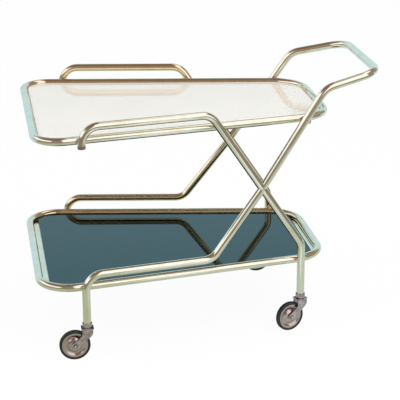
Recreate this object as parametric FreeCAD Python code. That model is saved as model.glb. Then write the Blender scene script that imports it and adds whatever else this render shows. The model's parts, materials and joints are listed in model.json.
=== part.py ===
import FreeCAD, Part
import math
import os

# Tubular brass bar cart: two glass trays, crossed side frames, a push handle, four swivel casters.
# Millimetres. +X runs from the nose to the handle at the rear, +Y from near side to far side, +Z up.
# The origin is on the floor, under the middle of the cart.

Vector = FreeCAD.Vector
UP = Vector(0, 0, 1)
ACROSS = Vector(0, 1, 0)
NEAR = -1
FAR = 1

# Tube stock, shared by the trays and the side frames
tube_diameter = 18.0
tube_wall = 1.2
braze_gap = 0.05
seam_gap = 0.2
seam_overrun_share = 0.25
spigot_length = 50.0
cut_overrun = 30.0
same_point = 0.001

# Trays: closed tube rings, wider at the nose than at the rear, measured between tube axes
upper_tray_length = 672.0
lower_tray_setback = 6.0
tray_nose_width = 524.0
tray_rear_width = 307.0
upper_nose_radius = 56.0
lower_nose_radius = 70.0
rear_corner_radius = 84.0
lower_tray_height = 166.5
tray_spacing = 340.0

# Glass plates, the ledges across the ends of the trays and the tabs along their sides that carry them
glass_thickness = 6.0
glass_drop = 5.0
glass_edge_gap = 0.3
glass_edge_round = 1.2
glass_corner_round = 5.0
upper_glass_end_gap = 0.6
lower_glass_end_gap = 12.0
ledge_thickness = 1.0
ledge_reach = 24.0
tab_length = 14.0
tab_reach = 12.0
tab_place_shares = (0.2, 0.5, 0.8)

# Side frames: heights are above the axis of the tray beside them, distances run along X
gallery_height = 33.0
post_inset = 98.0
upper_gallery_length = 288.5
lower_gallery_length = 292.0
crossing_share = 0.558
side_bend_radius = 38.0
post_tail = 7.0
rear_leg_inset = 67.5
rear_leg_bend_height = 44.0

# Push handle
arm_bend_inset = 16.5
arm_bend_height = 68.5
arm_bend_radius = 48.0
handle_reach = 113.5
handle_width = 290.0
handle_height = 95.0
handle_bend_radius = 54.0

# Pins that tie the trays to the side frames, the screws that clamp the handle pins, and the post plugs
pin_diameter = 5.0
pin_reach = 3.0
screw_shank_diameter = 4.0
screw_head_diameter = 11.5
screw_head_height = 5.5
screw_head_skirt = 2.0
plug_height = 8.0
plug_round = 2.5
plug_shank = 3.0

# Caster wheel: a dished metal disc with a rubber tyre
wheel_diameter = 70.0
tyre_width = 11.0
tyre_height = 5.8
tyre_shoulder_round = 3.0
lip_setback = 1.0
lip_thickness = 1.5
lip_height = 1.8
rim_depth = 2.6
dish_floor_diameter = 34.0
dish_floor_thickness = 3.2
dish_curve_share = 0.25
dome_rise = 4.4
dome_bulge_share = 0.75
hub_diameter = 14.0
axle_diameter = 6.0
running_gap = 0.05
rivet_diameter = 9.0
rivet_height = 2.2

# Caster fork and swivel; the near rear caster stands a little turned, the others point straight back
caster_trail = 29.0
near_rear_turn_share = 0.055
fork_head_length = 28.0
fork_corner_radius = 2.0
fork_sheet = 2.0
fork_edge_round = 0.6
crown_thickness = 2.5
nose_knee_drop = 16.0
nose_knee_radius = 12.0
rear_knee_drop = 13.0
rear_knee_radius = 14.0
axle_boss_radius = 8.0
wheel_side_gap = 3.5
wheel_top_gap = 6.9
end_play = 0.3
stem_diameter = 9.5
stem_rivet_diameter = 14.0
stem_rivet_height = 2.0
stem_lip = 0.6
stem_lip_height = 3.0
socket_length = 34.0
thrust_washer_diameter = 17.5
thrust_washer_thickness = 1.5
ferrule_diameter = 22.0
ferrule_floor = 2.0
ferrule_height = 9.5
ferrule_round = 0.8

# Sizes that follow from the ones above
tube_radius = tube_diameter / 2
bore_radius = tube_radius - tube_wall
frame_offset = tube_diameter + braze_gap
nose_x = -(upper_tray_length + handle_reach) / 2
upper_end_x = nose_x + upper_tray_length
lower_end_x = upper_end_x - lower_tray_setback
handle_x = upper_end_x + handle_reach
upper_tray_height = lower_tray_height + tray_spacing
taper = math.atan((tray_nose_width - tray_rear_width) / 2 / upper_tray_length)
ledge_back = math.sqrt(tube_radius ** 2 - glass_drop ** 2) + braze_gap

post_x = nose_x + post_inset
upper_knee_x = post_x + upper_gallery_length
lower_knee_x = post_x + lower_gallery_length
rear_leg_x = upper_end_x - rear_leg_inset
arm_bend_x = upper_end_x - arm_bend_inset

wheel_radius = wheel_diameter / 2
fork_half_length = fork_head_length / 2
cheek_inner = tyre_width / 2 + wheel_side_gap
cheek_outer = cheek_inner + fork_sheet
wheel_top_at_head = math.sqrt(wheel_radius ** 2 - (caster_trail - fork_half_length) ** 2)
crown_under = wheel_radius + wheel_top_at_head + wheel_top_gap
crown_top = crown_under + crown_thickness
ferrule_bottom = crown_top + thrust_washer_thickness + end_play
ferrule_top = ferrule_bottom + ferrule_height
leg_bottom = ferrule_bottom + ferrule_floor + braze_gap
socket_top = leg_bottom + socket_length
stem_radius = stem_diameter / 2
axle_radius = axle_diameter / 2
hub_half = cheek_inner - end_play
dish_floor_half = dish_floor_thickness / 2
lip_half = tyre_width / 2 - lip_setback
channel_half = lip_half - lip_thickness
tyre_base_radius = wheel_radius - tyre_height
lip_radius = tyre_base_radius - braze_gap
seat_radius = lip_radius - lip_height
rim_inner_radius = seat_radius - rim_depth
dish_floor_radius = dish_floor_diameter / 2

os.makedirs("parts", exist_ok=True)


def save(name, shapes):
    """Writes one solid, or a list of like solids, as a named piece."""
    shape = Part.makeCompound(shapes) if isinstance(shapes, list) else shapes
    shape.exportStep("parts/" + name + ".step")


def unit(vector):
    """A copy of the vector with length one."""
    return vector / vector.Length


def rounded_edges(corners, radii, closed=False):
    """Straight runs and tangent arcs through a list of corners; an open run keeps its two end points."""
    count = len(corners)
    bends = range(count) if closed else range(1, count - 1)
    arcs = []
    for i in bends:
        corner = corners[i]
        back = unit(corners[i - 1] - corner)
        ahead = unit(corners[(i + 1) % count] - corner)
        half_angle = back.getAngle(ahead) / 2
        inward = unit(back + ahead)
        reach = radii[i] / math.tan(half_angle)
        middle = corner + inward * (radii[i] / math.sin(half_angle) - radii[i])
        arcs.append((corner + back * reach, middle, corner + ahead * reach))
    last = arcs[-1][2] if closed else corners[0]
    edges = []
    for start, middle, end in arcs:
        if not last.isEqual(start, same_point):
            edges.append(Part.makeLine(last, start))
        edges.append(Part.Arc(start, middle, end).toShape())
        last = end
    if not closed:
        edges.append(Part.makeLine(last, corners[-1]))
    return edges


def rod(corners, radii, radius):
    """A round bar bent along the corners."""
    path = Part.Wire(rounded_edges(corners, radii))
    profile = Part.Wire(Part.makeCircle(radius, corners[0], corners[1] - corners[0]))
    return path.makePipeShell([profile], True, False)


def tube(corners, radii, overrun):
    """A bent tube, open at both ends, its bore cut with a run past each end."""
    first = unit(corners[0] - corners[1]) * overrun
    last = unit(corners[-1] - corners[-2]) * overrun
    bore = [corners[0] + first, *corners[1:-1], corners[-1] + last]
    return rod(corners, radii, tube_radius).cut(rod(bore, radii, bore_radius))


def half_width(x):
    """Distance from the middle of the cart to a tray's side rail."""
    return tray_nose_width / 2 - (x - nose_x) * math.tan(taper)


def outward(side):
    """Level direction square to a side rail, away from the tray."""
    return Vector(math.sin(taper), side * math.cos(taper), 0)


def frame_point(side, x, z):
    """A point on the upright plane that holds a side frame's tube axes."""
    return Vector(x, side * (half_width(x) + frame_offset / math.cos(taper)), z)


def tray_outline(end_x, nose_radius, inset):
    """Corners and radii of a tray's outline, moved inward from the tube axis."""
    corners = []
    nose_side_x = nose_x + inset
    rear_side_x = end_x - inset
    for x, side in ((nose_side_x, NEAR), (rear_side_x, NEAR), (rear_side_x, FAR), (nose_side_x, FAR)):
        corners.append(Vector(x, side * (half_width(x) - inset / math.cos(taper)), 0))
    nose = nose_radius - inset
    rear = rear_corner_radius - inset
    return corners, [nose, rear, rear, nose]


def cylinder(start, end, radius):
    """A round bar from one point to another."""
    return Part.makeCylinder(radius, (end - start).Length, start, end - start)


def moved(shape, offset):
    """A copy of the shape in another place."""
    copy = shape.copy()
    copy.translate(offset)
    return copy


def domed(base, direction, radius, height, skirt):
    """A domed head on a base point, with a skirt of the same width below it."""
    ball_radius = (height ** 2 + radius ** 2) / (2 * height)
    ball_centre = height - ball_radius
    lean = math.atan2(radius, -ball_centre) / 2
    shoulder = Vector(ball_radius * math.sin(lean), 0, ball_centre + ball_radius * math.cos(lean))
    rim = Vector(radius, 0, 0)
    foot = UP * -skirt
    edges = [Part.makeLine(UP * height, foot), Part.makeLine(foot, foot + rim)]
    if skirt > 0:
        edges.append(Part.makeLine(foot + rim, rim))
    edges.append(Part.Arc(rim, shoulder, UP * height).toShape())
    head = turned(edges, Vector(0, 0, 0), UP)
    head.Placement = FreeCAD.Placement(base, FreeCAD.Rotation(UP, direction))
    return head


def turned(profile, axis_point, axis):
    """A solid turned from a closed profile about an axis."""
    return Part.Face(Part.Wire(profile)).revolve(axis_point, axis, 360)


def polygon(points):
    """Edges of a closed outline with straight sides."""
    return [Part.makeLine(a, b) for a, b in zip(points, points[1:] + points[:1])]


def on_line(start, end, z):
    """The X at which a straight run between two (x, z) points reaches a height."""
    return start[0] + (end[0] - start[0]) * (z - start[1]) / (end[1] - start[1])


# Heights of the side frames' bends, and the places where their tubes cross the trays and each other
upper_gallery_z = upper_tray_height + gallery_height
lower_gallery_z = lower_tray_height + gallery_height
rear_leg_bend_z = lower_tray_height + rear_leg_bend_height
arm_bend_z = upper_tray_height + arm_bend_height
handle_z = upper_tray_height + handle_height
upper_knee = (upper_knee_x, upper_gallery_z)
crossing_x = upper_knee_x + (rear_leg_x - upper_knee_x) * crossing_share
crossing_z = upper_gallery_z + (rear_leg_bend_z - upper_gallery_z) * crossing_share
gallery_cross_x = on_line(upper_knee, (rear_leg_x, rear_leg_bend_z), upper_tray_height)
handle_cross_x = on_line((crossing_x, crossing_z), (arm_bend_x, arm_bend_z), upper_tray_height)


def pin_at(side, x, z):
    """A pin through the facing walls of a tray rail and a frame tube."""
    axis_point = frame_point(side, x, z)
    start = axis_point - outward(side) * (frame_offset + pin_reach)
    end = axis_point + outward(side) * pin_reach
    return start, end


# Pins: three to a side at the upper tray, two to a side at the lower tray
upper_pins = [pin_at(side, x, upper_tray_height)
              for side in (NEAR, FAR) for x in (post_x, gallery_cross_x, handle_cross_x)]
lower_pins = [pin_at(side, x, lower_tray_height)
              for side in (NEAR, FAR) for x in (post_x, rear_leg_x)]


def drilled(shape, pins):
    """The shape with the pins' holes."""
    holes = [cylinder(start, end, pin_diameter / 2 + braze_gap) for start, end in pins]
    return shape.cut(Part.makeCompound(holes))


def make_ring(end_x, nose_radius, seam_x):
    """A tray's tube, bent at four corners, its ends meeting on the far rail over an inner spigot."""
    corners, radii = tray_outline(end_x, nose_radius, 0)
    seam = Vector(seam_x, half_width(seam_x), 0)
    along = unit(corners[3] - corners[2])
    half_gap = along * (seam_gap / 2)
    half_spigot = along * (spigot_length / 2)
    run = [seam + half_gap, corners[3], *corners[:3], seam - half_gap]
    ring = tube(run, [0, radii[3], *radii[:3], 0], seam_gap * seam_overrun_share)
    return ring, cylinder(seam - half_spigot, seam + half_spigot, bore_radius - braze_gap)


def inner_plate(end_x, nose_radius, inset, thickness, from_x, to_x):
    """A flat plate that follows the inside of a ring, cut straight across at two places."""
    corners, radii = tray_outline(end_x, nose_radius, inset)
    face = Part.Face(Part.Wire(rounded_edges(corners, radii, closed=True)))
    slab = Part.makeBox(to_x - from_x, tray_nose_width, thickness,
                        Vector(from_x, -tray_nose_width / 2, 0))
    return face.extrude(UP * thickness).common(slab)


def make_glass(end_x, nose_radius, end_gap):
    """A glass plate with rounded edges inside the ring, cut straight at its two ends, short of the tube."""
    from_x = nose_x + tube_radius + end_gap
    to_x = end_x - tube_radius - end_gap
    glass = inner_plate(end_x, nose_radius, tube_radius + glass_edge_gap, glass_thickness, from_x, to_x)
    uprights = [edge for edge in glass.Edges if edge.BoundBox.ZLength > same_point]
    corners = [edge for edge in uprights if edge.BoundBox.XMax < from_x + same_point
               or edge.BoundBox.XMin > to_x - same_point]
    glass = glass.makeFillet(glass_corner_round, corners)
    rims = [edge for edge in glass.Edges if edge.BoundBox.ZLength < same_point]
    return moved(glass.makeFillet(glass_edge_round, rims), UP * -glass_drop)


def make_ledges(end_x, nose_radius):
    """The ledges across the two ends of a tray, brazed to the inside of the ring."""
    places = ((nose_x, nose_x + ledge_reach), (end_x - ledge_reach, end_x))
    return [inner_plate(end_x, nose_radius, ledge_back, ledge_thickness, from_x, to_x)
            for from_x, to_x in places]


def tab_at(point, inward):
    """A flat tab brazed to the inside of a side rail, under the edge of the glass."""
    half = inward.cross(UP) * (tab_length / 2)
    back = point + inward * ledge_back
    front = point + inward * (tube_radius + tab_reach)
    outline = polygon([back - half, back + half, front + half, front - half])
    return Part.Face(Part.Wire(outline)).extrude(UP * ledge_thickness)


def make_tabs(end_x):
    """The tabs along the two sides of a tray."""
    tabs = []
    for side in (NEAR, FAR):
        for share in tab_place_shares:
            x = nose_x + (end_x - nose_x) * share
            tabs.append(tab_at(Vector(x, side * half_width(x), 0), outward(side) * -1))
    return tabs


def save_tray(level, tray_z, end_x, nose_radius, end_gap, pins, seam_x):
    """Writes the pieces of one tray at its height."""
    lift = UP * tray_z
    ledge_lift = lift - UP * (glass_drop + ledge_thickness)
    ring, spigot = make_ring(end_x, nose_radius, seam_x)
    nose_ledge, rear_ledge = make_ledges(end_x, nose_radius)
    save(level + "_tray_ring", drilled(moved(ring, lift), pins))
    save(level + "_ring_spigot", moved(spigot, lift))
    save(level + "_tray_glass", moved(make_glass(end_x, nose_radius, end_gap), lift))
    save(level + "_nose_ledge", moved(nose_ledge, ledge_lift))
    save(level + "_rear_ledge", moved(rear_ledge, ledge_lift))
    save(level + "_glass_tabs", [moved(tab, ledge_lift) for tab in make_tabs(end_x)])
    save(level + "_tray_pins", [cylinder(start, end, pin_diameter / 2) for start, end in pins])


# Trays
save_tray("upper", upper_tray_height, upper_end_x, upper_nose_radius, upper_glass_end_gap,
          upper_pins, (post_x + gallery_cross_x) / 2)
save_tray("lower", lower_tray_height, lower_end_x, lower_nose_radius, lower_glass_end_gap,
          lower_pins, (post_x + rear_leg_x) / 2)

# Side frames: the gallery tube runs through, the rail tube and the handle tube are coped to it
post_end_z = upper_tray_height - post_tail
all_pins = upper_pins + lower_pins
plugs = []
clamp_screws = []
for side, side_name in ((NEAR, "near"), (FAR, "far")):
    bends = [side_bend_radius] * 3
    top_knee = frame_point(side, upper_knee_x, upper_gallery_z)
    crossing = frame_point(side, crossing_x, crossing_z)
    rear_knee = frame_point(side, rear_leg_x, rear_leg_bend_z)
    arm_bend = frame_point(side, arm_bend_x, arm_bend_z)
    cope = cylinder(top_knee, rear_knee, tube_radius + braze_gap)

    # Gallery tube: post, upper rail, diagonal and rear leg
    gallery_run = [frame_point(side, post_x, post_end_z), frame_point(side, post_x, upper_gallery_z),
                   top_knee, rear_knee, frame_point(side, rear_leg_x, leg_bottom)]
    gallery = tube(gallery_run, [0, *bends, 0], cut_overrun)
    save(side_name + "_gallery_tube", drilled(gallery, all_pins))

    # Rail tube: nose leg, lower rail and the lower half of the other diagonal
    rail_run = [frame_point(side, post_x, leg_bottom), frame_point(side, post_x, lower_gallery_z),
                frame_point(side, lower_knee_x, lower_gallery_z), crossing]
    rail = tube(rail_run, [0, *bends], cut_overrun).cut(cope)
    save(side_name + "_rail_tube", drilled(rail, lower_pins))

    # End plug of the gallery post: a rounded cap with a short shank in the bore
    post_end = frame_point(side, post_x, post_end_z)
    cap_top = post_end - UP * braze_gap
    cap = cylinder(cap_top - UP * plug_height, cap_top, tube_radius)
    rims = [edge for edge in cap.Edges if edge.BoundBox.ZMax < post_end_z - plug_height / 2]
    cap = cap.makeFillet(plug_round, rims)
    shank = cylinder(post_end - UP * plug_round, post_end + UP * plug_shank, bore_radius - braze_gap)
    plugs.append(cap.fuse(shank).removeSplitter())

    # Clamp screw under the handle tube: a domed head, with a shank that bears on the tray pin
    handle_line = cylinder(crossing, arm_bend, tube_radius + braze_gap)
    pin_centre = frame_point(side, handle_cross_x, upper_tray_height)
    down = unit(arm_bend - crossing).cross(outward(side)) * -side
    shank_tip = pin_centre + down * (pin_diameter / 2 + braze_gap)
    head_base = pin_centre + down * tube_radius
    head = domed(head_base, down, screw_head_diameter / 2, screw_head_height, screw_head_skirt)
    shank = cylinder(shank_tip, head_base + down * screw_head_skirt, screw_shank_diameter / 2)
    shank_hole = cylinder(shank_tip, head_base, screw_shank_diameter / 2 + braze_gap)
    clamp_screws.append(head.cut(handle_line).fuse(shank).removeSplitter())

    # Handle tube: the upper half of that diagonal, the arm and half of the crossbar
    handle_run = [crossing, arm_bend, Vector(handle_x, side * handle_width / 2, handle_z),
                  Vector(handle_x, side * seam_gap / 2, handle_z)]
    handle = tube(handle_run, [0, arm_bend_radius, handle_bend_radius, 0], cut_overrun).cut(cope)
    save(side_name + "_handle_tube", drilled(handle, upper_pins).cut(shank_hole))

save("post_plugs", plugs)
save("clamp_screws", clamp_screws)
half_spigot = ACROSS * (spigot_length / 2)
handle_centre = Vector(handle_x, 0, handle_z)
handle_spigot = cylinder(handle_centre - half_spigot, handle_centre + half_spigot, bore_radius - braze_gap)
save("handle_spigot", handle_spigot)


# Casters, drawn about the leg's axis with the floor at zero, the wheel trailing towards the nose
axle_centre = Vector(-caster_trail, 0, wheel_radius)


def rounded_plate(half_x, half_y, radius, low, high):
    """An upright block with rounded corners about the leg's axis."""
    corners = [Vector(x, y, low) for x, y in
               ((-half_x, -half_y), (half_x, -half_y), (half_x, half_y), (-half_x, half_y))]
    outline = Part.Wire(rounded_edges(corners, [radius] * len(corners), closed=True))
    return Part.Face(outline).extrude(UP * (high - low))


def sleeve(outer, inner, low, high):
    """A round sleeve about the leg's axis."""
    return cylinder(UP * low, UP * high, outer).cut(cylinder(UP * low, UP * high, inner))


def tangent_point(point, centre, radius, turn):
    """Where a line from the point touches a circle about a level axis, on the side that turn picks."""
    reach = point - centre
    angle = math.degrees(math.acos(radius / reach.Length))
    return centre + FreeCAD.Rotation(ACROSS, turn * angle).multVec(unit(reach)) * radius


def make_fork():
    """Stamped fork: a flat crown and two cheeks that sweep back to the axle."""
    crown = rounded_plate(fork_half_length, cheek_outer, fork_corner_radius, crown_under, crown_top)
    half_cheek = fork_half_length - fork_corner_radius
    nose_knee = Vector(-half_cheek, 0, crown_under - nose_knee_drop)
    rear_knee = Vector(half_cheek, 0, crown_under - rear_knee_drop)
    boss_nose = tangent_point(nose_knee, axle_centre, axle_boss_radius, -1)
    boss_rear = tangent_point(rear_knee, axle_centre, axle_boss_radius, 1)
    boss_tip = axle_centre + unit(axle_centre - UP * crown_under) * axle_boss_radius
    outline = [boss_nose, nose_knee, Vector(-half_cheek, 0, crown_top),
               Vector(half_cheek, 0, crown_top), rear_knee, boss_rear]
    edges = rounded_edges(outline, [0, nose_knee_radius, fork_sheet, fork_sheet, rear_knee_radius, 0])
    edges.append(Part.Arc(boss_rear, boss_tip, boss_nose).toShape())
    cheek = Part.Face(Part.Wire(edges)).extrude(ACROSS * fork_sheet)
    rims = [edge for edge in cheek.Edges if edge.BoundBox.YLength < same_point]
    cheek = cheek.makeFillet(fork_edge_round, rims)
    cheeks = [moved(cheek, ACROSS * cheek_inner), moved(cheek, ACROSS * -cheek_outer)]
    body = crown.fuse(cheeks).removeSplitter()
    stem_hole = cylinder(UP * (crown_under - cut_overrun), UP * (crown_top + cut_overrun),
                         stem_radius + braze_gap)
    axle_hole = cylinder(axle_centre - ACROSS * cut_overrun, axle_centre + ACROSS * cut_overrun,
                         axle_radius + braze_gap)
    return body.cut(stem_hole).cut(axle_hole)


def make_stem():
    """Swivel stem: riveted under the crown, with a lip above the socket that keeps it in."""
    lip_bottom = socket_top + end_play
    lip_top = lip_bottom + stem_lip_height
    rivet = cylinder(UP * (crown_under - stem_rivet_height), UP * crown_under, stem_rivet_diameter / 2)
    shaft = cylinder(UP * crown_under, UP * lip_bottom, stem_radius)
    lip = cylinder(UP * lip_bottom, UP * lip_top, stem_radius + stem_lip)
    return rivet.fuse([shaft, lip]).removeSplitter()


def make_ferrule():
    """Cup on the foot of the leg, with a hole in its floor for the stem."""
    cup = cylinder(UP * ferrule_bottom, UP * ferrule_top, ferrule_diameter / 2)
    rims = [edge for edge in cup.Edges if edge.BoundBox.ZMin > ferrule_bottom]
    cup = cup.makeFillet(ferrule_round, rims)
    floor_top = ferrule_bottom + ferrule_floor
    bore = cylinder(UP * floor_top, UP * ferrule_top, tube_radius + braze_gap)
    hole = cylinder(UP * ferrule_bottom, UP * floor_top, stem_radius + end_play)
    return cup.cut(bore).cut(hole)


def make_axle():
    """Axle pin with a domed rivet head outside each cheek."""
    pin = cylinder(axle_centre - ACROSS * cheek_outer, axle_centre + ACROSS * cheek_outer, axle_radius)
    heads = []
    for side in (NEAR, FAR):
        base = axle_centre + ACROSS * side * (cheek_outer + braze_gap)
        heads.append(domed(base, ACROSS * side, rivet_diameter / 2, rivet_height, 0))
        heads.append(cylinder(axle_centre, base, axle_radius))
    return pin.fuse(heads).removeSplitter()


def make_wheel():
    """Pressed wheel disc: hub, a dome round it, a dished ring and a channelled rim, alike on both sides."""
    hub_bore = axle_radius + running_gap
    hub_radius = hub_diameter / 2
    dish_rise = lip_half - dish_floor_half
    dome = Vector((hub_radius + dish_floor_radius) / 2, dish_floor_half + dome_rise * dome_bulge_share, 0)
    floor = Vector(dish_floor_radius, dish_floor_half, 0)
    wall_height = dish_floor_half + dish_rise * dish_curve_share
    wall = Vector((dish_floor_radius + rim_inner_radius) / 2, wall_height, 0)
    hub = [Vector(hub_bore, hub_half, 0), Vector(hub_radius, hub_half, 0),
           Vector(hub_radius, dish_floor_half + dome_rise, 0)]
    rim = [Vector(rim_inner_radius, lip_half, 0), Vector(lip_radius, lip_half, 0),
           Vector(lip_radius, channel_half, 0), Vector(seat_radius, channel_half, 0), Vector(seat_radius, 0, 0)]
    edges = [Part.makeLine(Vector(hub_bore, 0, 0), hub[0])]
    edges += [Part.makeLine(a, b) for a, b in zip(hub, hub[1:])]
    edges.append(Part.Arc(hub[-1], dome, floor).toShape())
    edges.append(Part.Arc(floor, wall, rim[0]).toShape())
    edges += [Part.makeLine(a, b) for a, b in zip(rim, rim[1:])]
    edges.append(Part.makeLine(rim[-1], Vector(hub_bore, 0, 0)))
    far_half = turned(edges, Vector(0, 0, 0), ACROSS)
    near_half = far_half.mirror(Vector(0, 0, 0), ACROSS)
    return moved(far_half.fuse(near_half).removeSplitter(), axle_centre)


def make_tyre():
    """Rubber tyre with rounded shoulders, its bead between the lips of the rim."""
    half = tyre_width / 2
    bead_half = channel_half - braze_gap
    bead_radius = seat_radius + braze_gap
    profile = [Vector(bead_radius, -bead_half, 0), Vector(bead_radius, bead_half, 0),
               Vector(tyre_base_radius, bead_half, 0), Vector(tyre_base_radius, half, 0),
               Vector(wheel_radius, half, 0), Vector(wheel_radius, -half, 0),
               Vector(tyre_base_radius, -half, 0), Vector(tyre_base_radius, -bead_half, 0)]
    tyre = turned(polygon(profile), Vector(0, 0, 0), ACROSS)
    shoulders = [edge for edge in tyre.Edges if edge.BoundBox.XMax > wheel_radius - same_point
                 and edge.BoundBox.YLength < same_point]
    return moved(tyre.makeFillet(tyre_shoulder_round, shoulders), axle_centre)


caster_pieces = {
    "ferrule": make_ferrule(),
    "socket": sleeve(bore_radius - braze_gap, stem_radius + running_gap, leg_bottom, socket_top),
    "thrust_washer": sleeve(thrust_washer_diameter / 2, stem_radius + braze_gap, crown_top,
                            crown_top + thrust_washer_thickness),
    "stem": make_stem(),
    "fork": make_fork(),
    "axle": make_axle(),
    "wheel": make_wheel(),
    "tyre": make_tyre(),
}
legs = {"near_nose": (NEAR, post_x, 0), "far_nose": (FAR, post_x, 0),
        "near_rear": (NEAR, rear_leg_x, near_rear_turn_share), "far_rear": (FAR, rear_leg_x, 0)}
for leg_name, (side, leg_x, turn_share) in legs.items():
    for piece_name, piece in caster_pieces.items():
        placed = moved(piece, frame_point(side, leg_x, 0))
        placed.rotate(frame_point(side, leg_x, 0), UP, 360 * turn_share)
        save(leg_name + "_" + piece_name, placed)
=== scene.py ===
import json
import math
import bpy
from mathutils import Matrix, Vector


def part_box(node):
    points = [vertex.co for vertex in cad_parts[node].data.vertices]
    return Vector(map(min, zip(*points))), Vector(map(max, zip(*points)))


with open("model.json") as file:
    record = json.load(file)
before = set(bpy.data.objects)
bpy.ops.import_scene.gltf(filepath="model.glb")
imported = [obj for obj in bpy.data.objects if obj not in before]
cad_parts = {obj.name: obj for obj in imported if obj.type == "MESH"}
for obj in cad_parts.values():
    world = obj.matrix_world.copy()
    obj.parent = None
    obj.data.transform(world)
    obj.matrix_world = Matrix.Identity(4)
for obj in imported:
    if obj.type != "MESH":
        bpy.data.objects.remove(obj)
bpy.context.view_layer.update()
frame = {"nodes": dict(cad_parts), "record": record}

bpy.ops.object.select_all(action="DESELECT")


# Tray rings, side frames and push handle: 18 mm brass tube, drawn, bent cold, brazed where the tubes touch
# and buffed bright by hand. Age has left a thin uneven tarnish, and handling has left fine marks.
def linear(code):
    """An sRGB hex colour as the linear values that a shader takes."""
    channels = [int(code[i:i + 2], 16) / 255 for i in (1, 3, 5)]
    return [c / 12.92 if c <= 0.04045 else ((c + 0.055) / 1.055) ** 2.4 for c in channels] + [1.0]


def add(tree, kind, links=None, **settings):
    """Adds a node, sets its options, and links or sets its inputs by name or number."""
    made = tree.nodes.new("ShaderNode" + kind)
    for name, value in settings.items():
        setattr(made, name, value)
    for name, value in (links or {}).items():
        if isinstance(value, bpy.types.NodeSocket):
            tree.links.new(value, made.inputs[name])
        else:
            made.inputs[name].default_value = value
    return made


def begin(name):
    """A new material with its tree, shader and Object coordinates in metres."""
    made = bpy.data.materials.new(name)
    made.use_nodes = True
    tree = made.node_tree
    place = add(tree, "TexCoord").outputs["Object"]
    return made, tree, tree.nodes["Principled BSDF"], place


def dress(material, *names):
    """Gives CAD nodes their finish."""
    for name in names:
        for slot in frame["nodes"][name].material_slots:
            slot.material = material


# Numbers of the sockets whose names repeat on a node. A Map Range gives AT_START up to START and AT_STOP
# from STOP on. A colour Mix goes from FIRST to SECOND by its SHARE.
START, STOP, AT_START, AT_STOP = 1, 2, 3, 4
SHARE, FIRST, SECOND, BLEND = 0, 6, 7, 2
colours = {"data_type": "RGBA"}

# Polished brass: pale gold mirror, a little soft from buffing, with brown tarnish in 30 mm clouds. The colour
# has a painted warmer reflection on the far side and a painted paler reflection towards the handle end.
# Buffing lines are really about 0.1 mm apart, and are drawn 1.5 mm apart so that they show.
cloud_size, freckle_size, buffing_gap, buffing_depth = 0.030, 0.006, 0.0015, 0.0003
near_lacquer, far_side_warm_reflection, handle_end_pale_reflection = linear("#f9f1da"), linear("#fde7c5"), linear("#fef3db")
tarnish, freckle_brown = linear("#e6d5a8"), linear("#c3a874")
far_side_y, handle_lean, handle_from, handle_to = 0.2, 0.8, 0.40, 0.65
brass, tree, shader, place = begin("polished_brass")
clouds = add(tree, "TexNoise", {"Vector": place, "Scale": 1 / cloud_size, "Detail": 4.0, "Roughness": 0.6})
thin = add(tree, "MapRange", {"Value": clouds.outputs["Fac"], START: 0.42, STOP: 0.72, AT_STOP: 0.5})
spot = add(tree, "SeparateXYZ", {0: place})
far_side = add(tree, "MapRange", {"Value": spot.outputs["Y"], START: 0.0, STOP: far_side_y})
rise = add(tree, "Math", {0: spot.outputs["Z"], 1: handle_lean, 2: spot.outputs["X"]},
           operation="MULTIPLY_ADD")
toward_handle_end = add(tree, "MapRange", {"Value": rise.outputs[0], START: handle_from, STOP: handle_to})
# Painted reflection: the colour is warmer on the far side and paler towards the handle end.
lacquer_and_reflection = add(tree, "Mix", {SHARE: far_side.outputs[0], FIRST: near_lacquer, SECOND: far_side_warm_reflection},
              **colours)
lacquer_and_reflection = add(tree, "Mix", {SHARE: toward_handle_end.outputs[0], FIRST: lacquer_and_reflection.outputs[BLEND],
                            SECOND: handle_end_pale_reflection}, **colours)
tone = add(tree, "Mix", {SHARE: thin.outputs[0], FIRST: lacquer_and_reflection.outputs[BLEND], SECOND: tarnish}, **colours)
freckle = add(tree, "TexNoise", {"Vector": place, "Scale": 1 / freckle_size, "Detail": 3.0,
                                 "Roughness": 0.7})
spots = add(tree, "MapRange", {"Value": freckle.outputs["Fac"], START: 0.64, STOP: 0.80, AT_STOP: 0.40})
aged = add(tree, "Mix", {SHARE: spots.outputs[0], FIRST: tone.outputs[BLEND], SECOND: freckle_brown},
           **colours)
lines = add(tree, "TexNoise", {"Vector": place, "Scale": 1 / buffing_gap, "Detail": 2.0, "Distortion": 1.5})
gloss = add(tree, "MapRange", {"Value": clouds.outputs["Fac"], START: 0.3, STOP: 0.8,
                               AT_START: 0.05, AT_STOP: 0.13})
buff = add(tree, "Bump", {"Height": lines.outputs["Fac"], "Strength": 0.03, "Distance": buffing_depth})
tree.links.new(aged.outputs[BLEND], shader.inputs["Base Color"])
tree.links.new(gloss.outputs[0], shader.inputs["Roughness"])
tree.links.new(buff.outputs[0], shader.inputs["Normal"])
shader.inputs["Metallic"].default_value = 1.0
dress(brass, "upper_tray_ring", "lower_tray_ring", "upper_ring_spigot", "lower_ring_spigot",
      "upper_tray_pins", "lower_tray_pins", "near_handle_tube", "far_handle_tube", "handle_spigot",
      "near_rail_tube", "far_rail_tube", "near_gallery_tube", "far_gallery_tube",
      "upper_glass_tabs", "lower_glass_tabs", "clamp_screws",
      *[name for name in frame["nodes"] if name.endswith("_ledge")])
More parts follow.
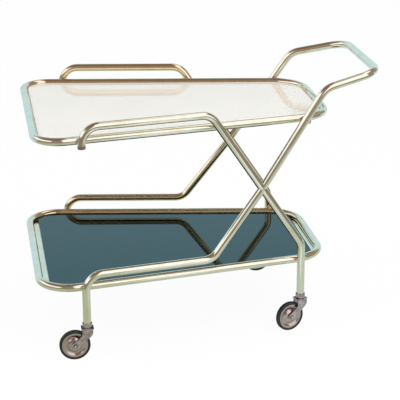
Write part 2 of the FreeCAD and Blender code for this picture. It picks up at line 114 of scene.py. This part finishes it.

# Upper plate: 6 mm opal glass, opaque white all through, with ground and polished edges. It lies loose on
# the ledges and tabs inside the ring. Its underside is painted a duller grey, painted shade under the plate
# that the lower rails mirror.
glass_ior = 1.52
milk_size, smear_size, ripple_depth, scatter_depth = 0.120, 0.045, 0.001, 0.002
milk_white, milk_shade, underside_shade_grey = linear("#ebe3d8"), linear("#e4dcd1"), linear("#9d978f")
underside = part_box("upper_tray_glass")[0].z
grey_height, white_height = 0.0007, 0.0015
opal, tree, shader, place = begin("opal_glass")
milk = add(tree, "TexNoise", {"Vector": place, "Scale": 1 / milk_size, "Detail": 3.0})
white = add(tree, "Mix", {SHARE: milk.outputs["Fac"], FIRST: milk_white, SECOND: milk_shade}, **colours)
spot = add(tree, "SeparateXYZ", {0: place})
# Painted shade: the lowest 1.5 mm of the plate fades from white to grey.
underside_shade = add(tree, "MapRange", {"Value": spot.outputs["Z"], START: underside + grey_height,
                               STOP: underside + white_height, AT_START: 1.0, AT_STOP: 0.0})
white_with_underside_shade = add(tree, "Mix", {SHARE: underside_shade.outputs[0], FIRST: white.outputs[BLEND], SECOND: underside_shade_grey},
             **colours)
wiped = add(tree, "TexNoise", {"Vector": place, "Scale": 1 / smear_size, "Detail": 5.0, "Distortion": 2.0})
smear = add(tree, "MapRange", {"Value": wiped.outputs["Fac"], START: 0.4, STOP: 0.75,
                               AT_START: 0.03, AT_STOP: 0.12})
ripple = add(tree, "Bump", {"Height": milk.outputs["Fac"], "Strength": 0.05, "Distance": ripple_depth})
tree.links.new(white_with_underside_shade.outputs[BLEND], shader.inputs["Base Color"])
tree.links.new(smear.outputs[0], shader.inputs["Roughness"])
tree.links.new(ripple.outputs[0], shader.inputs["Normal"])
shader.inputs["IOR"].default_value = glass_ior
shader.inputs["Subsurface Weight"].default_value = 1.0
shader.inputs["Subsurface Radius"].default_value = (1.0, 1.0, 1.0)
shader.inputs["Subsurface Scale"].default_value = scatter_depth
dress(opal, "upper_tray_glass")

# Lower plate: the same glass in black, polished like a dark mirror, loose on the ledges and tabs of the
# lower ring. Its own tint makes mirror images cold, and dust and cloth marks dull it here and there.
smear_size, dust_size = 0.050, 0.003
clean_black, dusty_black, cold_tint = linear("#060b0b"), linear("#141b1b"), linear("#00ffff")
jet, tree, shader, place = begin("black_glass")
wiped = add(tree, "TexNoise", {"Vector": place, "Scale": 1 / smear_size, "Detail": 5.0, "Distortion": 2.0})
smear = add(tree, "MapRange", {"Value": wiped.outputs["Fac"], START: 0.4, STOP: 0.8,
                               AT_START: 0.02, AT_STOP: 0.08})
dust = add(tree, "TexNoise", {"Vector": place, "Scale": 1 / dust_size, "Detail": 2.0})
grain = add(tree, "MapRange", {"Value": dust.outputs["Fac"], START: 0.62, STOP: 0.8, AT_STOP: 0.5})
black = add(tree, "Mix", {SHARE: grain.outputs[0], FIRST: clean_black, SECOND: dusty_black}, **colours)
tree.links.new(black.outputs[BLEND], shader.inputs["Base Color"])
tree.links.new(smear.outputs[0], shader.inputs["Roughness"])
shader.inputs["IOR"].default_value = glass_ior
shader.inputs["Specular Tint"].default_value = cold_tint
dress(jet, "lower_tray_glass")

# End plugs of the gallery posts: moulded dark rubber, pushed into the open ends of the tubes. It shows a low
# sheen, fine pores and a patchy grey bloom.
pore_size, pore_depth = 0.004, 0.0005
rubber_brown, rubber_bloom = linear("#4b463f"), linear("#79736a")
plug, tree, shader, place = begin("moulded_dark_rubber")
skin = add(tree, "TexNoise", {"Vector": place, "Scale": 1 / pore_size, "Detail": 3.0})
shade = add(tree, "Mix", {SHARE: skin.outputs["Fac"], FIRST: rubber_brown, SECOND: rubber_bloom}, **colours)
matt = add(tree, "MapRange", {"Value": skin.outputs["Fac"], AT_START: 0.20, AT_STOP: 0.42})
pores = add(tree, "Bump", {"Height": skin.outputs["Fac"], "Strength": 0.2, "Distance": pore_depth})
tree.links.new(shade.outputs[BLEND], shader.inputs["Base Color"])
tree.links.new(matt.outputs[0], shader.inputs["Roughness"])
tree.links.new(pores.outputs[0], shader.inputs["Normal"])
dress(plug, "post_plugs")

# Casters: a ferrule on each leg and a stamped steel fork under it, once bright nickel, now dull and freckled
# in 9 mm patches. Socket, stem and washer are turned steel with the same plating.
legs = ("near_nose", "far_nose", "near_rear", "far_rear")
wear_size, pit_depth = 0.009, 0.0006
bright_nickel, dull_nickel = linear("#dccbcd"), linear("#a58e92")
nickel, tree, shader, place = begin("worn_nickel_plate")
wear = add(tree, "TexNoise", {"Vector": place, "Scale": 1 / wear_size, "Detail": 5.0, "Roughness": 0.65})
worn = add(tree, "MapRange", {"Value": wear.outputs["Fac"], START: 0.38, STOP: 0.66})
metal = add(tree, "Mix", {SHARE: worn.outputs[0], FIRST: bright_nickel, SECOND: dull_nickel}, **colours)
dull = add(tree, "MapRange", {"Value": wear.outputs["Fac"], START: 0.3, STOP: 0.7,
                              AT_START: 0.13, AT_STOP: 0.30})
pits = add(tree, "Bump", {"Height": wear.outputs["Fac"], "Strength": 0.12, "Distance": pit_depth})
tree.links.new(metal.outputs[BLEND], shader.inputs["Base Color"])
tree.links.new(dull.outputs[0], shader.inputs["Roughness"])
tree.links.new(pits.outputs[0], shader.inputs["Normal"])
shader.inputs["Metallic"].default_value = 1.0
for leg in legs:
    dress(nickel, leg + "_ferrule", leg + "_fork", leg + "_stem", leg + "_socket", leg + "_thrust_washer")

# Wheels and axles: pressed metal discs, turned in a lathe, each on a steel pin whose ends are riveted over
# the fork. The pin's tip has a painted bright glint, ringed by a painted dark contact shadow. Turning marks
# are really about 0.2 mm apart, and are drawn 1.2 mm apart so that they show.
stain_size, turning_gap, turning_depth = 0.012, 0.0012, 0.0003
clean_disc, stained_disc = linear("#e6d0cb"), linear("#b0958e")
painted_glint_tip, painted_shadow_ring = linear("#fbf7f0"), linear("#5d5850")
glint_radius, shadow_ring_radius = 0.0018, 0.0028
spins = {joint["name"]: joint for joint in frame["record"]["behaviour"]["joints"]}
for leg in legs:
    low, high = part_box(leg + "_wheel")
    axle_line = spins[leg + "_spin"]["axis"]
    turn = math.atan2(-axle_line[0], axle_line[1])
    for piece in ("wheel", "axle"):
        metal, tree, shader, place = begin("turned_" + piece + "_metal_" + leg)
        centred = add(tree, "Mapping", {"Vector": place, "Location": (low + high) / 2,
                                        "Rotation": (0, 0, turn)}, vector_type="TEXTURE")
        level = add(tree, "VectorMath", {0: centred.outputs[0], 1: (1.0, 0.0, 1.0)}, operation="MULTIPLY")
        radius = add(tree, "VectorMath", {0: level.outputs[0]}, operation="LENGTH")
        turns = add(tree, "Math", {0: radius.outputs["Value"], 1: 2 * math.pi / turning_gap},
                    operation="MULTIPLY")
        ridge = add(tree, "Math", {0: turns.outputs[0]}, operation="SINE")
        stain = add(tree, "TexNoise", {"Vector": place, "Scale": 1 / stain_size, "Detail": 5.0,
                                       "Roughness": 0.6})
        if piece == "wheel":
            tone = add(tree, "Mix", {SHARE: stain.outputs["Fac"], FIRST: clean_disc, SECOND: stained_disc},
                       **colours)
        else:
            # Painted glint on the pin's tip, and a painted dark shadow ring round it.
            edge = add(tree, "MapRange", {"Value": radius.outputs["Value"], START: glint_radius,
                                          STOP: shadow_ring_radius})
            tone = add(tree, "Mix", {SHARE: edge.outputs[0], FIRST: painted_glint_tip, SECOND: painted_shadow_ring}, **colours)
        dull = add(tree, "MapRange", {"Value": stain.outputs["Fac"], START: 0.3, STOP: 0.7,
                                      AT_START: 0.07, AT_STOP: 0.18})
        cuts = add(tree, "Bump", {"Height": ridge.outputs[0], "Strength": 0.06, "Distance": turning_depth})
        tree.links.new(tone.outputs[BLEND], shader.inputs["Base Color"])
        tree.links.new(dull.outputs[0], shader.inputs["Roughness"])
        tree.links.new(cuts.outputs[0], shader.inputs["Normal"])
        shader.inputs["Metallic"].default_value = 1.0
        dress(metal, leg + "_" + piece)

# Tyres: black rubber, moulded in one ring and stretched into the channel of the wheel. The rubber is matt,
# and rolling has scuffed it grey in patches of about 7 mm.
scuff_size, scuff_depth = 0.007, 0.0005
new_rubber, scuffed_rubber = linear("#15191a"), linear("#343a3b")
rubber, tree, shader, place = begin("black_tyre_rubber")
scuff = add(tree, "TexNoise", {"Vector": place, "Scale": 1 / scuff_size, "Detail": 5.0, "Roughness": 0.65})
grey = add(tree, "MapRange", {"Value": scuff.outputs["Fac"], START: 0.4, STOP: 0.75})
soot = add(tree, "Mix", {SHARE: grey.outputs[0], FIRST: new_rubber, SECOND: scuffed_rubber}, **colours)
matt = add(tree, "MapRange", {"Value": scuff.outputs["Fac"], START: 0.3, STOP: 0.7,
                              AT_START: 0.38, AT_STOP: 0.65})
rough = add(tree, "Bump", {"Height": scuff.outputs["Fac"], "Strength": 0.15, "Distance": scuff_depth})
tree.links.new(soot.outputs[BLEND], shader.inputs["Base Color"])
tree.links.new(matt.outputs[0], shader.inputs["Roughness"])
tree.links.new(rough.outputs[0], shader.inputs["Normal"])
dress(rubber, *[leg + "_tyre" for leg in legs])

# Floor: pale seamless paper under the cart. The camera sees it white with the cart's soft shadow; the tubes
# mirror it as the grey that it is in half shade, dark far off, bluer towards the back, with a pool of light
# in front of the cart.
smooth = {"interpolation_type": "SMOOTHSTEP"}
floor_radius, floor_sides, fibre_size = 30.0, 96, 0.4
paper_shade, paper_white = linear("#eeeeec"), linear("#f3f3f1")
nose_grey, rear_grey, far_grey = linear("#b1bdad"), linear("#c2d1ce"), linear("#8b867c")
pool_light, back_light, full_white = linear("#e7f2ff"), linear("#c7e2ef"), linear("#ffffff")
nose_x, rear_x, near_reach, far_reach, back_y = -0.35, 0.15, 0.8, 2.0, 0.5
pool_lean, pool_x, pool_edge, pool_core = 0.487, -0.20, 0.15, 0.09
pool_from_y, pool_full_y, camera_lift = -0.44, -0.54, 0.96
bpy.ops.mesh.primitive_circle_add(vertices=floor_sides, radius=floor_radius, fill_type="NGON",
                                  location=(0, 0, 0))
floor = bpy.context.object
floor.name = "floor"
paper, tree, shader, place = begin("pale_paper")
fibre = add(tree, "TexNoise", {"Vector": place, "Scale": 1 / fibre_size, "Detail": 3.0})
pale = add(tree, "Mix", {SHARE: fibre.outputs["Fac"], FIRST: paper_shade, SECOND: paper_white}, **colours)
tree.links.new(pale.outputs[BLEND], shader.inputs["Base Color"])
shader.inputs["Roughness"].default_value = 0.9
shader.inputs["Specular IOR Level"].default_value = 0.0
spot = add(tree, "SeparateXYZ", {0: place})
rearward = add(tree, "MapRange", {"Value": spot.outputs["X"], START: nose_x, STOP: rear_x}, **smooth)
close = add(tree, "Mix", {SHARE: rearward.outputs[0], FIRST: nose_grey, SECOND: rear_grey}, **colours)
apart = add(tree, "VectorMath", {0: place}, operation="LENGTH")
far_off = add(tree, "MapRange", {"Value": apart.outputs["Value"], START: near_reach, STOP: far_reach},
              **smooth)
mirrored = add(tree, "Mix", {SHARE: far_off.outputs[0], FIRST: close.outputs[BLEND], SECOND: far_grey},
               **colours)
slant = add(tree, "Math", {0: spot.outputs["Y"], 1: pool_lean, 2: spot.outputs["X"]},
            operation="MULTIPLY_ADD")
off = add(tree, "Math", {0: slant.outputs[0], 1: pool_x}, operation="SUBTRACT")
aside = add(tree, "Math", {0: off.outputs[0]}, operation="ABSOLUTE")
beam = add(tree, "MapRange", {"Value": aside.outputs[0], START: pool_edge, STOP: pool_core}, **smooth)
front = add(tree, "MapRange", {"Value": spot.outputs["Y"], START: pool_from_y, STOP: pool_full_y}, **smooth)
pool = add(tree, "Math", {0: beam.outputs[0], 1: front.outputs[0]}, operation="MULTIPLY")
mirrored = add(tree, "Mix", {SHARE: pool.outputs[0], FIRST: mirrored.outputs[BLEND], SECOND: pool_light},
               **colours)
back = add(tree, "MapRange", {"Value": spot.outputs["Y"], START: 0.0, STOP: back_y}, **smooth)
mirrored = add(tree, "Mix", {SHARE: back.outputs[0], FIRST: mirrored.outputs[BLEND], SECOND: back_light},
               **colours)
shade = add(tree, "Emission", {"Color": mirrored.outputs[BLEND], "Strength": 1.0})
glow = add(tree, "Emission", {"Color": full_white, "Strength": 1.0})
path = add(tree, "LightPath")
seen = add(tree, "Math", {0: path.outputs["Is Camera Ray"], 1: camera_lift}, operation="MULTIPLY")
lifted = add(tree, "MixShader", {0: seen.outputs[0], 1: shader.outputs[0], 2: glow.outputs[0]})
shown = add(tree, "MixShader", {0: path.outputs["Is Glossy Ray"], 1: lifted.outputs[0], 2: shade.outputs[0]})
tree.links.new(shown.outputs[0], tree.nodes["Material Output"].inputs["Surface"])
floor.data.materials.append(paper)

# Studio: a white ground for the camera, and round the cart a warm dark room that the metal and the glass
# mirror, with a pale blue backdrop behind the cart. Soft boxes hang in front at its right, high over its
# handle, and at its left.
low_room, mid_room, top_room = linear("#817c74"), linear("#998d81"), linear("#7c6a5f")
backdrop_blue, unlit = linear("#c7e7f7"), linear("#000000")
# Heights in the room and sides of the backdrop are parts of a direction one metre long.
mid_height, top_from, top_full = 0.25, 0.45, 0.95
backdrop_edge, backdrop_core, backdrop_full, backdrop_top = 0.45, 0.70, 0.42, 0.72
# Each box has its middle and half width in degrees round from behind the cart towards the handle, its lowest
# and highest edge in degrees above the floor, its colour and its strength. The edges fade over a few degrees.
soft_boxes = ((147, 23, 2, 66, "#f5f6ff", 1.27),
              (86, 64, 54, 74, "#f5f6ff", 1.27),
              (-94, 46, 14, 42, "#eef3ff", 1.26))
side_out, side_in, foot_fade, head_fade = 8, 4, 5, 7
# A mirror image of a mirror image keeps this share of the room's light. Matt surfaces see a plain grey sky.
second_mirror, sky_low, sky_high = 0.6, 0.30, 0.92
world = bpy.data.worlds.new("studio")
bpy.context.scene.world = world
world.use_nodes = True
tree = world.node_tree
facing = add(tree, "TexCoord").outputs["Generated"]
parts = add(tree, "SeparateXYZ", {0: facing})
round_about = add(tree, "Math", {0: parts.outputs["X"], 1: parts.outputs["Y"]}, operation="ARCTAN2")
raised = add(tree, "MapRange", {"Value": parts.outputs["Z"], START: 0.0, STOP: mid_height}, **smooth)
room = add(tree, "Mix", {SHARE: raised.outputs[0], FIRST: low_room, SECOND: mid_room}, **colours)
height = add(tree, "MapRange", {"Value": parts.outputs["Z"], START: top_from, STOP: top_full}, **smooth)
room = add(tree, "Mix", {SHARE: height.outputs[0], FIRST: room.outputs[BLEND], SECOND: top_room}, **colours)
for azimuth, half_wide, lowest, highest, colour, strength in soft_boxes:
    light = [level * strength for level in linear(colour)]
    off = add(tree, "Math", {0: round_about.outputs[0], 1: math.radians(azimuth)}, operation="SUBTRACT")
    aside = add(tree, "Math", {0: off.outputs[0]}, operation="ABSOLUTE")
    wide = add(tree, "MapRange", {"Value": aside.outputs[0], START: math.radians(half_wide + side_out),
                                  STOP: math.radians(half_wide - side_in)}, **smooth)
    foot = add(tree, "MapRange", {"Value": parts.outputs["Z"],
                                  START: math.sin(math.radians(lowest - foot_fade)),
                                  STOP: math.sin(math.radians(lowest + foot_fade))}, **smooth)
    head = add(tree, "MapRange", {"Value": parts.outputs["Z"],
                                  START: math.sin(math.radians(highest + head_fade)),
                                  STOP: math.sin(math.radians(highest - head_fade))}, **smooth)
    tall = add(tree, "Math", {0: foot.outputs[0], 1: head.outputs[0]}, operation="MULTIPLY")
    mask = add(tree, "Math", {0: wide.outputs[0], 1: tall.outputs[0]}, operation="MULTIPLY")
    room = add(tree, "Mix", {SHARE: mask.outputs[0], FIRST: room.outputs[BLEND], SECOND: light}, **colours)
path = add(tree, "LightPath")
again = add(tree, "MapRange", {"Value": path.outputs["Glossy Depth"], START: 1.0, STOP: 2.0,
                               AT_START: 1.0, AT_STOP: second_mirror})
room = add(tree, "Mix", {SHARE: again.outputs[0], FIRST: unlit, SECOND: room.outputs[BLEND]}, **colours)
behind = add(tree, "MapRange", {"Value": parts.outputs["Y"], START: backdrop_edge, STOP: backdrop_core},
             **smooth)
below = add(tree, "MapRange", {"Value": parts.outputs["Z"], START: backdrop_full, STOP: backdrop_top,
                               AT_START: 1.0, AT_STOP: 0.0}, **smooth)
sheet = add(tree, "Math", {0: behind.outputs[0], 1: below.outputs[0]}, operation="MULTIPLY")
room = add(tree, "Mix", {SHARE: sheet.outputs[0], FIRST: room.outputs[BLEND], SECOND: backdrop_blue},
           **colours)
sky = add(tree, "MapRange", {"Value": parts.outputs["Z"], AT_START: sky_low, AT_STOP: sky_high})
soft = add(tree, "Mix", {SHARE: path.outputs["Is Diffuse Ray"], FIRST: room.outputs[BLEND],
                         SECOND: sky.outputs[0]}, **colours)
ground = add(tree, "Mix", {SHARE: path.outputs["Is Camera Ray"], FIRST: soft.outputs[BLEND],
                           SECOND: full_white}, **colours)
tree.links.new(ground.outputs[BLEND], tree.nodes["Background"].inputs["Color"])


# Lamps: two soft boxes above the camera's shoulders, a strong one towards the handle and a weaker one
# towards the nose. Mirrors don't show them, because their images are the pale patches of the studio.
def towards(azimuth, elevation):
    """Direction by degrees round from behind the cart towards the handle, and above the floor."""
    a, e = math.radians(azimuth), math.radians(elevation)
    return Vector((math.sin(a) * math.cos(e), math.cos(a) * math.cos(e), math.sin(e)))


lamp_distance, lamp_size = 3.0, 1.6
for name, azimuth, elevation, power in (("key_lamp", 140, 50, 36), ("fill_lamp", -100, 45, 20)):
    data = bpy.data.lights.new(name, "AREA")
    data.shape = "DISK"
    data.size = lamp_size
    data.energy = power
    lamp = bpy.data.objects.new(name, data)
    bpy.context.scene.collection.objects.link(lamp)
    aim = towards(azimuth, elevation)
    lamp.location = aim * lamp_distance
    lamp.rotation_euler = aim.to_track_quat("Z", "Y").to_euler()
    lamp.visible_glossy = False

# Camera: the photograph's, from the near side and a little above, with a long lens. Its place and turns were
# fitted to the edges of the tubes.
camera_place = (-0.53215, -3.22708, 1.41666)
yaw, pitch, roll = 0.1651, -0.3381, -0.0040
focal_length, sensor_width, view_depth = 130.5, 36.0, 100.0
ahead = Vector((math.sin(yaw) * math.cos(pitch), math.cos(yaw) * math.cos(pitch), math.sin(pitch)))
across = Vector((math.cos(yaw), -math.sin(yaw), 0))
upward = across.cross(ahead)
right = across * math.cos(roll) + upward * math.sin(roll)
top = right.cross(ahead)
lens = bpy.data.cameras.new("camera")
lens.lens = focal_length
lens.sensor_width = sensor_width
lens.clip_end = view_depth
camera = bpy.data.objects.new("camera", lens)
bpy.context.scene.collection.objects.link(camera)
camera.matrix_world = Matrix.Translation(camera_place) @ Matrix((right, top, -ahead)).transposed().to_4x4()
bpy.context.scene.camera = camera
bpy.context.scene.view_settings.view_transform = "Standard"
